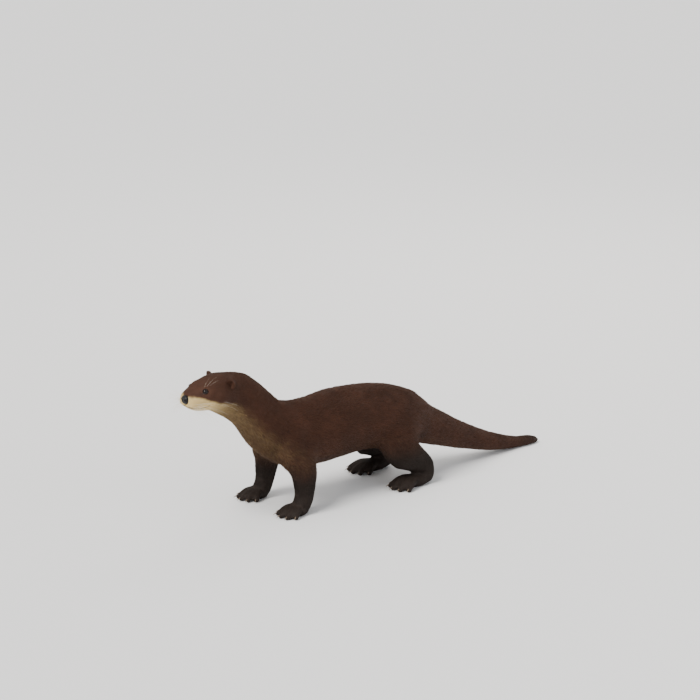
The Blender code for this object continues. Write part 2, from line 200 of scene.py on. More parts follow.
def spine_line():
    """From the nose's tip through the head, neck and trunk to the tail's tip."""
    low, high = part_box("trunk")
    tail_low, tail_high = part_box("tail_tip")
    chest, hips = (
        Vector((0, mix(low.y, high.y, back), mix(low.z, high.z, up)))
        for back, up in ((0.30, 0.50), (0.70, 0.52))
    )
    neck = [NOSE_TIP, in_head(0, 0.060, -0.002), end_middle("neck", head_directions(HEAD_CUT))]
    trunk = [end_middle("trunk", NECK_CUT), chest, hips]
    tail = [end_middle(node, TAIL_CUT) for node in ("trunk", "tail_base", "tail_middle")]
    return Line(neck + trunk + tail + [(0, tail_high.y, tail_low.z + 0.006)])


def leg_line(side, upper, lower, foot):
    """From inside the trunk down a leg and out along the foot."""
    toes_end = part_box(f"{foot}_{side}")[0].y
    joint = end_middle(f"{lower}_{side}", (0, 0, 1))
    ankle = end_middle(f"{foot}_{side}", (0, 0, 1))
    root = middle(f"{upper}_{side}") + Vector((0, 0, 0.02))
    top = root + (root - joint) * 0.6
    palm = Vector((ankle.x, mix(ankle.y, toes_end, 0.35), 0.014))
    toes = Vector((middle(f"{foot}_{side}").x, toes_end, 0.006))
    return Line([top, root, joint, ankle, palm, toes], count=90)


SPINE = spine_line()
LEGS = {
    (leg, side): leg_line(side, *names)
    for leg, names in (
        ("fore", ("upper_arm", "forearm", "forefoot")),
        ("hind", ("thigh", "shank", "hindfoot")),
    )
    for side, _ in SIDES
}
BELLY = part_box("trunk")[0].z
LEG_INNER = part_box("forearm_left")[0].x
TAIL_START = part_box("tail_base")[0].y


def leg_share(co):
    """How much each point belongs to a leg: 0 on the trunk, neck, head and tail, 1 on the leg below."""
    side = np.abs(co[:, 0])
    low = 1 - ramp(co[:, 2], BELLY - 0.005, BELLY + 0.075)
    out = ramp(side, LEG_INNER - 0.012, LEG_INNER + 0.010)
    foot = 1 - ramp(co[:, 2], 0.35 * BELLY, 0.75 * BELLY)
    return low * np.maximum(out, foot) * (co[:, 1] < TAIL_START)


def body_places(co):
    """For each point: distance along the spine from the nose, its leg share, and the coat's direction
    before it is laid on the surface, with coordinates that run along the coat."""
    along, offset, tangent = SPINE.nearest(co)
    legs = leg_share(co)
    which = 2 * (co[:, 1] > LEGS_PART) + (co[:, 0] < 0)
    leg_along = np.zeros(len(co))
    leg_offset = np.zeros_like(co)
    leg_tangent = np.zeros_like(co)
    for index, line in enumerate(LEGS.values()):
        mine = (which == index) & (legs > 0)
        if mine.any():
            leg_along[mine], leg_offset[mine], leg_tangent[mine] = line.nearest(co[mine])
    direction = unit(mix(tangent, leg_tangent, legs[:, None]))
    flow_along = mix(along, leg_along, legs)
    across = mix(offset, leg_offset, legs[:, None])
    return along, legs, direction, flow_along, across


# ---------- mesh helpers


def read(items, field, columns, kind=np.float32):
    """A field of a mesh's items, as rows of an array."""
    rows = np.empty(len(items) * columns, kind)
    items.foreach_get(field, rows)
    return rows.reshape(-1, columns)


def write(items, field, rows, kind=np.float32):
    """Sets a field of a mesh's items from rows of an array."""
    items.foreach_set(field, np.ascontiguousarray(rows, kind).ravel())


def coordinates(mesh):
    """A mesh's vertices as an array."""
    return read(mesh.vertices, "co", 3).astype(float)


def normals_of(mesh):
    """A mesh's vertex normals as an array."""
    return read(mesh.vertex_normals, "vector", 3).astype(float)


def set_coordinates(mesh, co):
    """Moves a mesh's vertices to the rows of an array."""
    write(mesh.vertices, "co", co)
    mesh.update()


def new_object(name, data):
    """A new object in the scene."""
    made = bpy.data.objects.new(name, data)
    bpy.context.scene.collection.objects.link(made)
    return made


def object_of(bm, name):
    """A new smooth-shaded object from a bmesh, which is freed."""
    mesh = bpy.data.meshes.new(name)
    bm.normal_update()
    bm.to_mesh(mesh)
    bm.free()
    mesh.shade_smooth()
    return new_object(name, mesh)


def applied(obj):
    """Replaces obj's mesh by its evaluated one, and clears its modifiers."""
    bpy.context.view_layer.update()
    graph = bpy.context.evaluated_depsgraph_get()
    mesh = bpy.data.meshes.new_from_object(obj.evaluated_get(graph))
    obj.modifiers.clear()
    obj.data = mesh
    return obj


def weighted_smooth(obj, weights, steps, factor=0.6):
    """Smooths obj, each vertex by its weight."""
    group = obj.vertex_groups.new(name="smooth")
    levels = np.round(np.asarray(weights, float), 2)
    for level in np.unique(levels):
        if level > 0:
            group.add(np.flatnonzero(levels == level).tolist(), float(level), "REPLACE")
    smooth = obj.modifiers.new("smooth", "SMOOTH")
    smooth.factor = factor
    smooth.iterations = steps
    smooth.vertex_group = group.name
    applied(obj)
    obj.vertex_groups.clear()


def set_attribute(mesh, name, values):
    """Stores a number or a vector for each vertex."""
    kind, field = ("FLOAT", "value") if np.ndim(values) == 1 else ("FLOAT_VECTOR", "vector")
    write(mesh.attributes.new(name, kind, "POINT").data, field, values)


def neighbour_average(mesh, rows, steps):
    """Averages rows of numbers with those of each vertex's neighbours, steps times."""
    a, b = read(mesh.edges, "vertices", 2, np.int32).T
    ends = np.concatenate([a, b])
    others = np.concatenate([b, a])
    count = np.maximum(np.bincount(ends, minlength=len(rows)), 1)
    for _ in range(steps):
        total = [np.bincount(ends, column[others], minlength=len(rows)) for column in rows.T]
        rows = mix(np.column_stack(total) / count[:, None], rows, OWN_SHARE)
    return rows


def joined(meshes, name):
    """One object from several meshes, which are removed with their objects."""
    bm = bmesh.new()
    for mesh in meshes:
        bm.from_mesh(mesh)
        bpy.data.meshes.remove(mesh)
    return object_of(bm, name)


def welded(node):
    """A bmesh of a node's solid, with its faces joined at their corners."""
    bm = bmesh.new()
    bm.from_mesh(NODES[node].data)
    bmesh.ops.remove_doubles(bm, verts=bm.verts, dist=WELD)
    return bm


# ---------- the skin

FLESH = [n for n in NODES if n.split("_")[0] not in ("claw", "eye", "ear", "nose")]


def joined_flesh():
    """The solids of flesh, each grown a little so that they overlap, in one object."""
    meshes = []
    for name in sorted(FLESH):
        piece = welded(name)
        piece.normal_update()
        moves = [v.normal * FLESH_OVERLAP * min(v.calc_shell_factor(), SHARPEST_CORNER) for v in piece.verts]
        for v, move in zip(piece.verts, moves, strict=True):
            v.co += move
        meshes.append(bpy.data.meshes.new("grown"))
        piece.to_mesh(meshes[-1])
        piece.free()
    return joined(meshes, "skin")


def coat_depth(co):
    """How far the skin lies under the tips of the coat."""
    back = head_places(co)[:, 1]
    along, legs, *_ = body_places(co)
    depth = np.interp(
        along,
        [0.0, 0.03, 0.07, 0.12, 0.18, 0.60, 0.80, 1.12],
        np.array([0.9, 1.2, 1.8, 3.2, 5.0, 5.5, 4.0, 2.0]) * MM,
    )
    leg_depth = np.interp(co[:, 2], [0.0, 0.025, 0.05, 0.10], np.array([0.4, 0.9, 1.8, 3.5]) * MM)
    sole = np.maximum(ramp(co[:, 2], 0.5 * MM, 6 * MM), 1 - legs)
    depth = mix(depth, leg_depth, legs)
    near_eye = mix(0.8 * MM, depth, ramp(distance_to("eye", co), 0.007, 0.02))
    depth = np.where(back < 0.09, np.minimum(depth, near_eye), depth)
    return depth * sole


def smoothing(co):
    """How much of the solids' facets each place loses."""
    back = head_places(co)[:, 1]
    along, legs, *_ = body_places(co)
    body = np.interp(
        along, [0, 0.06, 0.10, 0.14, 0.20, 0.70, 0.85, 1.1], [0.04, 0.06, 0.14, 0.5, 1.0, 1.0, 0.45, 0.12]
    )
    leg = np.interp(co[:, 2], [0.0, 0.03, 0.05, 0.11], [0.02, 0.03, 0.22, 0.8])
    hind_middle = middle("hindfoot_left").y
    heel = ramp(co[:, 1], hind_middle + 0.020, hind_middle + 0.045)
    leg = np.maximum(leg, 0.45 * heel)
    weights = mix(body, leg, legs)
    return np.where(back < 0.07, np.minimum(weights, 0.10), weights)


def refined(obj, chosen):
    """Cuts each face whose middle is chosen into four."""
    bm = bmesh.new()
    bm.from_mesh(obj.data)
    middles = np.array([f.calc_center_median() for f in bm.faces])
    keep = chosen(middles)
    edges = list({e for f, wanted in zip(bm.faces, keep, strict=True) if wanted for e in f.edges})
    bmesh.ops.subdivide_edges(bm, edges=edges, cuts=1, use_grid_fill=True, smooth=0.0)
    bmesh.ops.triangulate(bm, faces=[f for f in bm.faces if len(f.verts) > 4])
    bm.to_mesh(obj.data)
    bm.free()
    obj.data.update()


# One side of the mouth from under the nose to its corner, in the head's frame.
MOUTH_BACK = [0.0060, 0.0100, 0.0170, 0.0260, 0.0350, 0.0430, 0.0490]
MOUTH_UP = [-0.0150, -0.0168, -0.0190, -0.0198, -0.0188, -0.0168, -0.0142]


def distance_to_mouth(places):
    """For places in the head: the height above the mouth line, and how far back along it they are."""
    back = places[:, 1]
    bow = np.interp(np.abs(places[:, 0]), [0.0, 0.003, 0.008, 0.014], np.array([1.6, 0.8, -0.6, 0.0]) * MM)
    bow *= 1 - ramp(back, 0.012, 0.022)
    return places[:, 2] - np.interp(back, MOUTH_BACK, MOUTH_UP) - bow, back


def cleft_share(places):
    """1 in the cleft between the nose and the upper lip, 0 away from it."""
    height, back = distance_to_mouth(places)
    cleft = bell(places[:, 0], 0.9 * MM) * ramp(height, -0.5 * MM, 1.0 * MM)
    return cleft * (back < LIP_CLEFT_END) * ramp(-places[:, 2], 0.002, 0.006)


def shape_muzzle(co, normals):
    """Cuts the mouth, the cleft under the nose and the step of the lower lip, and sets the chin back."""
    places = head_places(co)
    height, back = distance_to_mouth(places)
    front = 1 - ramp(back, 0.043, 0.050)
    lips = front * (normals[:, 2] < 0.75)
    groove = bell(height, 1.0 * MM) * lips
    upper = bell(height - 3.2 * MM, 2.4 * MM) * lips
    chin = (1 - ramp(back, 0.004, 0.030)) * ramp(-height, 0.2 * MM, 3.5 * MM)
    lower = bell(height + 2.6 * MM, 1.8 * MM) * lips
    cleft = cleft_share(places)
    moves = normals * (-2.4 * MM * groove + 0.9 * MM * upper + 0.3 * MM * lower - 1.1 * MM * cleft)[:, None]
    moves += head_directions([[0, 1.0, 0.25]]) * (2.0 * MM * chin * lips)[:, None]
    return co + moves


def shape_face(co, normals):
    """Builds up the brows, cheeks and whisker pads, hollows the front of the eyes, under the eyes and the
    stop between the brows, and brings the muzzle's front up round the nose."""
    strokes = (  # side, back, up, radius, amount out
        (0.0190, 0.0150, -0.0090, 0.0130, 1.3),  # whisker pad
        (0.0000, 0.0120, 0.0100, 0.0090, 0.6),  # bridge behind the nose
        (0.0170, 0.0280, 0.0060, 0.0120, -1.2),  # in front of the eye
        (0.0270, 0.0520, 0.0290, 0.0130, 1.2),  # brow
        (0.0000, 0.0480, 0.0280, 0.0120, -0.7),  # stop between the brows
        (0.0440, 0.0760, -0.0080, 0.0220, 1.6),  # cheek
        (0.0380, 0.0640, 0.0040, 0.0120, -0.9),  # under the eye
    )
    places = head_places(co)
    places[:, 0] = np.abs(places[:, 0])
    amount = np.zeros(len(co))
    for *stroke_middle, radius, out in strokes:
        near = np.linalg.norm(places - stroke_middle, axis=1)
        amount += out * MM * np.clip(1 - (near / radius) ** 2, 0, None) ** 2
    forward = 1.7 * MM * (1 - ramp(places[:, 1], 0.008, 0.022))
    return co + normals * amount[:, None] - head_directions([[0, 1.0, 0]]) * forward[:, None]


class Eye:
    """One eye's middle, and the directions of its gaze, its slit and its upper lid."""

    SLIT = math.radians(50)
    OPENING = math.radians(39)
    LOWER_OPENING = 0.84
    LENS = 1.7
    LID = 0.9 * MM
    OUTER = math.radians(82)

    def __init__(self, side, mirror):
        self.middle = np.array(middle(f"eye_{side}"))
        gaze = head_directions([mirror * 0.80, -0.46, 0.36])
        self.gaze = gaze / np.linalg.norm(gaze)
        slit = head_directions([mirror * 0.30, 0.90, 0.28])
        slit -= self.gaze * (slit @ self.gaze)
        self.slit = slit / np.linalg.norm(slit)
        self.up = np.cross(self.gaze, self.slit)
        if self.up[2] < 0:
            self.up = -self.up

    def angles(self, co):
        """Distance from the eye's middle, angle off the gaze, and the opening's own angle there."""
        offset = co - self.middle
        distance = np.linalg.norm(offset, axis=1)
        direction = offset / distance[:, None]
        off = np.arccos(np.clip(direction @ self.gaze, -1, 1))
        turn = np.arctan2(direction @ self.up, direction @ self.slit)
        upper = np.sin(turn) > 0
        opening = np.where(upper, 1.0, self.LOWER_OPENING) * self.OPENING
        reach = np.abs(np.cos(turn) / self.SLIT) ** self.LENS + np.abs(np.sin(turn) / opening) ** self.LENS
        edge = reach ** (-1 / self.LENS)
        return distance, direction, off, edge

    def lidded(self, co):
        """The skin drawn over the eyeball, with a rolled edge round the opening."""
        distance, direction, off, edge = self.angles(co)
        behind = EYE_RADIUS - 1.6 * MM
        lid = EYE_RADIUS + mix(0.15 * MM, self.LID, ramp(off, edge, 1.22 * edge))
        rim = ramp(off, 0.92 * edge, 1.04 * edge)
        leave = ramp(off, 1.25 * edge, np.maximum(self.OUTER, 1.5 * edge))
        leave = np.maximum(leave, ramp(distance, 0.0095, 0.0150))
        wanted = mix(mix(behind, lid, rim), distance, leave)
        near = (off < self.OUTER * 1.3) & (distance < 0.017)
        return np.where(near[:, None], self.middle + direction * wanted[:, None], co)

    def open_share(self, co):
        """1 well away from the opening, 0 on it and on the bare rim."""
        distance, _, off, edge = self.angles(co)
        return np.where(distance < 0.014, ramp(off, 1.05 * edge, 1.35 * edge), 1.0)


EYES = [Eye(side, mirror) for side, mirror in SIDES]


def make_skin():
    """One closed skin from the nose to the tail, with the fine shape of the face."""
    skin = joined_flesh()
    remesh = skin.modifiers.new("fuse", "REMESH")
    remesh.mode = "VOXEL"
    remesh.voxel_size = VOXEL
    applied(skin)
    weighted_smooth(skin, smoothing(coordinates(skin.data)), SMOOTH_STEPS)
    co = coordinates(skin.data)
    inward = neighbour_average(skin.data, normals_of(skin.data), 6)
    depth = coat_depth(co) + FLESH_OVERLAP
    co -= unit(inward) * depth[:, None]
    co[:, 2] = np.maximum(co[:, 2], SKIN_LOWEST)
    set_coordinates(skin.data, co)
    refined(skin, lambda rows: head_places(rows)[:, 1] < FINE_FACE_END)
    weighted_smooth(skin, head_places(coordinates(skin.data))[:, 1] < SOFT_FACE_END, 5)

    def near_features(rows):
        places = head_places(rows)
        height, back = distance_to_mouth(places)
        mouth = (np.abs(height) < 5 * MM) & (back < 0.054)
        cleft = (np.abs(places[:, 0]) < 3 * MM) & (back < LIP_CLEFT_END) & (places[:, 2] < 0)
        return mouth | cleft | (distance_to("eye", rows) < 0.0135)

    refined(skin, near_features)
    refined(skin, lambda rows: distance_to("eye", rows) < 0.0102)
    weighted_smooth(skin, near_features(coordinates(skin.data)), 4)
    co = shape_face(coordinates(skin.data), normals_of(skin.data))
    set_coordinates(skin.data, co)
    co = shape_muzzle(co, normals_of(skin.data))
    for eye in EYES:
        co = eye.lidded(co)
    set_coordinates(skin.data, co)
    weighted_smooth(skin, near_features(co), 2, factor=0.4)
    thin = skin.modifiers.new("thin", "DECIMATE")
    thin.ratio = SKIN_TRIANGLES / sum(len(p.vertices) - 2 for p in skin.data.polygons)
    return applied(skin)


# ---------- ears, eyes, nose, claws and whiskers


def ball_mesh(radii, rings):
    """An ellipsoid's bmesh about the origin."""
    bm = bmesh.new()
    bmesh.ops.create_uvsphere(
        bm, u_segments=2 * rings, v_segments=rings, radius=1, matrix=Matrix.Diagonal((*radii, 1))
    )
    return bm


def placed(bm, matrix, name):
    """A new object from a closed bmesh that is moved by a matrix."""
    bmesh.ops.transform(bm, matrix=matrix, verts=bm.verts)
    bmesh.ops.recalc_face_normals(bm, faces=bm.faces)
    return object_of(bm, name)


def ear_axes(side, mirror):
    """An ear's middle and its axes: across, front and up."""
    up = head_vector(mirror * 0.60, 0.34, 0.74)
    front = Vector(head_directions([mirror * 0.36, -0.93, 0.05]))
    front = (front - up * front.dot(up)).normalized()
    return middle(f"ear_{side}"), up.cross(front), front, up


def make_ear(side, mirror):
    """A small rounded ear: a cup open to the front, with a rolled rim and a fold inside."""
    centre, wide, front, up = ear_axes(side, mirror)
    height = 0.0097
    width = 0.0104
    thick = 0.0052
    rim = 0.90
    hollow_depth = 0.0054
    fold_height = 0.0012
    bow = 0.0026
    set_back = 0.0006
    sink = 0.0026
    bm = ball_mesh((width, thick, height), 26)
    for v in bm.verts:
        across = math.hypot(v.co.x / width, v.co.z / height)
        hollow = max(0.0, 1 - (across / rim) ** 2)
        v.co.y = math.copysign(thick * max(0.0, 1 - across**3) ** (1 / 3), v.co.y)
        if v.co.y > 0:
            v.co.y -= hollow_depth * hollow
            fold = math.exp(-(((across - 0.52) / 0.13) ** 2)) * (v.co.z < 0.35 * height)
            v.co.y += fold_height * fold * (abs(v.co.x) > 0.15 * width)
        v.co.y += bow * across**2
        v.co.y -= set_back
        v.co.x *= 1 + 0.30 * max(0.0, -v.co.z / height)
    axes = Matrix((wide, front, up)).transposed().to_4x4()
    return placed(bm, Matrix.Translation(centre + up * -sink) @ axes, f"ear_shape_{side}")


def make_eye(eye, side):
    """An eyeball with a slightly bulging cornea. Its from_pole attribute is the angle off the gaze."""
    bm = ball_mesh((EYE_RADIUS,) * 3, 32)
    poles = []
    for v in bm.verts:
        off = math.acos(max(-1, min(1, v.co.z / EYE_RADIUS)))
        poles.append(off)
        v.co *= 1 + 0.035 * math.exp(-((off / 0.55) ** 2))
    turn = Vector(eye.gaze).to_track_quat("Z", "Y").to_matrix().to_4x4()
    obj = placed(bm, Matrix.Translation(Vector(eye.middle)) @ turn, f"eyeball_{side}")
    set_attribute(obj.data, "from_pole", poles)
    return obj


def make_nose():
    """The bare nose: broad, flat in front, rolled over on top, with comma-shaped nostrils at its sides.
    Its pit attribute is 1 inside them, and the nose's material paints shade there."""
    half = NOSE_SIZE.x / 2
    bm = ball_mesh((half, 0.62 * half, 0.74 * half), 48)
    co = np.array([v.co for v in bm.verts]) / half
    x, y, z = co.T
    side = np.abs(x)
    front = ramp(-y, 0.05, 0.45)
    y = np.where(y < 0, np.maximum(y, -0.46 + 0.10 * side), y)
    z = z * (1 + 0.10 * side) - 0.10 * side**2
    x = x * (1 + 0.12 * z)
    around = np.stack([side - 0.50, z + 0.04], 1)
    around[:, 1] += 0.35 * around[:, 0]
    pit = np.exp(-((around[:, 0] / 0.20) ** 2 + (around[:, 1] / 0.17) ** 2) ** 1.4) * front
    slit_height = z + 0.16 + 0.10 * (side - 0.6)
    slit = bell(slit_height, 0.065) * ramp(side, 0.50, 0.66)
    slit *= 1 - ramp(side, 0.92, 1.02)
    rim = bell(np.hypot(around[:, 0], around[:, 1]) - 0.32, 0.09) * front
    groove = bell(x, 0.045) * ramp(-z, -0.10, 0.25) * front
    y = y + front * (0.50 * pit + 0.20 * slit + 0.09 * groove) - 0.035 * rim
    for v, place in zip(bm.verts, np.stack([x, y, z], 1) * half, strict=True):
        v.co = place
    axes = HEAD_FRAME.to_3x3()
    centre = NOSE_TIP + axes @ Vector((0, 0.50 * half, 0))
    obj = placed(bm, Matrix.Translation(centre) @ axes.to_4x4(), "nose_pad")
    # The pit attribute carries painted shade into the nostrils' insides.
    set_attribute(obj.data, "pit", np.clip(pit + 0.7 * slit * front, 0, 1))
    return obj


def make_claw(node):
    """A smooth claw from its node's solid. Its reach attribute runs from 0 at the toe to 1 at the point."""
    obj = object_of(welded(node), f"{node}_horn")
    smooth = obj.modifiers.new("round", "SUBSURF")
    smooth.levels = 2
    applied(obj)
    forward = -coordinates(obj.data)[:, 1]
    set_attribute(obj.data, "reach", (forward - forward.min()) / np.ptp(forward))
    return obj


TUBE_SIDES = 5
WHISKER_ROWS = 5
WHISKER_COLUMNS = 6
WHISKER_STEPS = 9
WHISKER_RADIUS = 0.26 * MM
BRISTLE_RADIUS = 0.10 * MM
TIP_RADIUS = 0.05 * MM


def tube(bm, points, radii):
    """A closed tapered tube along points."""
    rings = []
    for i, point in enumerate(points):
        ahead = points[min(i + 1, len(points) - 1)] - points[max(i - 1, 0)]
        turn = ahead.to_track_quat("Z", "Y")
        angles = [math.tau * k / TUBE_SIDES for k in range(TUBE_SIDES)]
        corners = [Vector((math.cos(angle), math.sin(angle), 0)) for angle in angles]
        rings.append([bm.verts.new(point + turn @ corner * radii[i]) for corner in corners])
    for a, b in zip(rings, rings[1:]):
        for k in range(TUBE_SIDES):
            j = (k + 1) % TUBE_SIDES
            bm.faces.new((a[k], a[j], b[j], b[k]))
    bm.faces.new(rings[0][::-1])
    bm.faces.new(rings[-1])


# Three over each eye and two on each cheek: place, way out of the skin, direction and length.
BRISTLES = (
    ((0.0230, 0.0430, 0), (0, 0, 1), (0.35, 0.20, 0.90), 0.030),
    ((0.0255, 0.0475, 0), (0, 0, 1), (0.45, 0.40, 0.80), 0.034),
    ((0.0270, 0.0520, 0), (0, 0, 1), (0.60, 0.55, 0.65), 0.026),
    ((0, 0.0680, -0.0150), (1, 0, 0), (0.90, 0.55, -0.30), 0.036),
    ((0, 0.0730, -0.0120), (1, 0, 0), (0.90, 0.65, -0.15), 0.030),
)


def whisker(bm, root, direction, droop, length, radius):
    """One whisker from its root in the skin, bending with its own weight."""
    steps = [i / WHISKER_STEPS for i in range(WHISKER_STEPS + 1)]
    points = [root + direction * length * t + droop * length * t * t for t in steps]
    tube(bm, points, [mix(radius, TIP_RADIUS, t**0.8) for t in steps])


def surface_point(tree, place, outward):
    """Where a line from outside meets the skin, and the skin's direction there."""
    return tree.ray_cast(in_head(*place) + outward * 0.05, -outward)[:2]


def make_whiskers(tree):
    """Stiff pale whiskers in rows on both sides of the muzzle, with a few over the eyes and on the cheeks."""
    bm = bmesh.new()
    for _, mirror in SIDES:
        outward = head_vector(mirror, -0.25, -0.10)
        for row, column in product(range(WHISKER_ROWS), range(WHISKER_COLUMNS)):
            back = 0.0085 + 0.0042 * column + 0.0008 * row + RNG.uniform(-0.6, 0.6) * MM
            up = -0.0142 + 0.0028 * row - 0.0006 * column + RNG.uniform(-0.4, 0.4) * MM
            hit, normal = surface_point(tree, (0, back, up), outward)
            if hit is None:
                continue
            rise = -0.55 + 0.30 * row + RNG.uniform(-0.08, 0.08)
            sweep = -0.42 + 0.16 * column + RNG.uniform(-0.08, 0.08)
            direction = (head_vector(mirror, sweep, rise) * 0.80 + normal * 0.35).normalized()
            length = mix(0.030, 0.074, ramp(column, -1, 5)) * RNG.uniform(0.75, 1.08)
            droop = Vector((mirror * 0.02, 0.16, -0.26)) * RNG.uniform(0.6, 1.2)
            whisker(bm, hit - normal * 0.8 * MM, direction, droop, length, WHISKER_RADIUS)
        for place, away, lean, length in BRISTLES:
            away = head_vector(mirror * away[0], *away[1:])
            hit, normal = surface_point(tree, (mirror * place[0], *place[1:]), away)
            if hit is None:
                continue
            direction = head_vector(mirror * lean[0], *lean[1:])
            whisker(bm, hit - normal * 0.6 * MM, direction, Vector((0, 0.10, -0.14)), length, BRISTLE_RADIUS)
    return object_of(bm, "whiskers")


# ---------- the coat's markings and lie


def rippled(co, scale, seed):
    """Smooth noise from -1 to 1 at each place."""
    shift = Vector((seed, 1.7 * seed, -seed))
    return np.array([noise.noise(Vector(row) * scale + shift) for row in co])


def markings(co):
    """How pale and how dark the coat is at each place, from 0 to 1."""
    along, offset, tangent = SPINE.nearest(co)
    legs = leg_share(co)
    side, back, up = head_places(co).T
    wobble = 1.6 * rippled(co, FINE_SCALE, 3) + rippled(co, SPECK_SCALE, 5)
    edge = np.interp(
        back,
        [-0.010, 0.006, 0.016, 0.030, 0.045, 0.070, 0.100, 0.140],
        np.array([4.0, 8.0, 9.0, 4.0, -4.0, -14.0, -23.0, -32.0]) * MM,
    )
    below = 1 - ramp(up - edge + wobble * MM, -6 * MM, 4.5 * MM)
    bridge = 1 - ramp(np.abs(side), 5 * MM, 10 * MM)
    below *= 1 - bridge * ramp(up, -2 * MM, 2 * MM)
    palest = np.array([0, -0.35, -1.0])
    down = palest - tangent * (tangent @ palest)[:, None]
    under = (unit(offset) * unit(down)).sum(1)
    under = ramp(under + 0.10 * wobble, 0.0, 0.75)
    strength = np.interp(
        along, [0, 0.036, 0.060, 0.100, 0.200, 0.330, 0.420, 0.80], [1, 1, 0.66, 0.36, 0.24, 0.12, 0.06, 0.04]
    )
    pale = mix(below, under, ramp(back, 0.085, 0.135)) * strength * (1 - legs)
    low = 1 - ramp(co[:, 2] + wobble * 2 * MM, 0.062, 0.140)
    dark = np.maximum(legs * mix(0.35, 1.0, low), 0.55 * ramp(along, 0.93, 1.12) * (1 - legs))
    return np.clip(pale, 0, 1), np.clip(dark, 0, 1)


def lie_of_coat(mesh, ear_from):
    """The direction of the coat over the skin at each vertex, and coordinates along and across it."""
    co = coordinates(mesh)
    normals = normals_of(mesh)
    _, legs, direction, flow_along, across = body_places(co)
    side = np.clip(co[:, 0] / 0.05, -1, 1)
    direction[:, 2] -= 0.30 * (1 - legs) * np.abs(side) * (co[:, 1] < TAIL_START)
    for name, mirror in SIDES:
        mine = np.flatnonzero((np.arange(len(co)) >= ear_from) & (co[:, 0] * mirror > 0))
        _, _, front, up = ear_axes(name, mirror)
        direction[mine] = np.array(up) - 0.6 * np.array(front)
    flat = direction - normals * (direction * normals).sum(1)[:, None]
    weight = np.linalg.norm(flat, axis=1, keepdims=True)
    flat = neighbour_average(mesh, flat * weight, 14)
    flat -= normals * (flat * normals).sum(1)[:, None]
    return unit(flat), flow_along, across


def bareness(co, normals):
    """1 where there is no coat: in the mouth's groove and the cleft, on the lids' rims and on the soles."""
    places = head_places(co)
    height, back = distance_to_mouth(places)
    lips = (1 - ramp(np.abs(height), 0.5 * MM, 1.2 * MM)) * (1 - ramp(back, 0.042, 0.049))
    lids = 1 - np.minimum(*[eye.open_share(co) for eye in EYES])
    soles = 1 - ramp(co[:, 2], 2.5 * MM, 6.0 * MM)
    soles *= ramp(-normals[:, 2], 0.25, 0.65) * leg_share(co)
    return np.clip(np.max([lips, lids, soles, cleft_share(places)], axis=0), 0, 1)


def coat_length(co, ears):
    """The length of the tufts at each place."""
    along, legs, *_ = body_places(co)
    body = np.interp(
        along,
        [0.0, 0.02, 0.05, 0.08, 0.12, 0.18, 0.30, 0.60, 0.74, 0.95, 1.12],
        [1.9, 2.3, 3.2, 4.5, 7.0, 10.5, 14.5, 15.5, 14.5, 11.0, 8.0],
    )
    leg = np.interp(co[:, 2], [0.0, 0.02, 0.045, 0.080, 0.130], [2.3, 3.2, 5.5, 8.5, 12.5])
    length = mix(body, leg, legs)
    near_eye = ramp(distance_to("eye", co), 0.006, 0.022)
    length = np.minimum(length, mix(1.1, length, near_eye))
    return np.where(ears, 2.3, length) * MM


class Roots:
    """Where the tufts stand: places on the skin, with what the skin says there."""

    def __init__(self, skin, fields, density, count):
        mesh = skin.data
        mesh.calc_loop_triangles()
        corners = read(mesh.loop_triangles, "vertices", 3, np.int32)
        loops = read(mesh.loop_triangles, "loops", 3, np.int32)
        area = read(mesh.loop_triangles, "area", 1)[:, 0]
        wanted = np.cumsum(area * density[corners].mean(1))
        at = (np.arange(count) + RNG.random(count)) * wanted[-1] / count
        face = np.minimum(np.searchsorted(wanted, at), len(corners) - 1)
        a = np.sqrt(RNG.random(count))
        b = RNG.random(count)
        weights = np.stack([1 - a, a * (1 - b), a * b], 1)
        uv = read(mesh.uv_layers["OFBake"].uv, "vector", 2)
        self.uv = (uv[loops[face]] * weights[:, :, None]).sum(1)
        self.uv = np.clip(self.uv, UV_PATCH, 1 - UV_PATCH)
        for name, rows in fields.items():
            picked = rows[corners[face]]
            shaped = weights.reshape(weights.shape + (1,) * (picked.ndim - 2))
            setattr(self, name, (picked * shaped).sum(1))


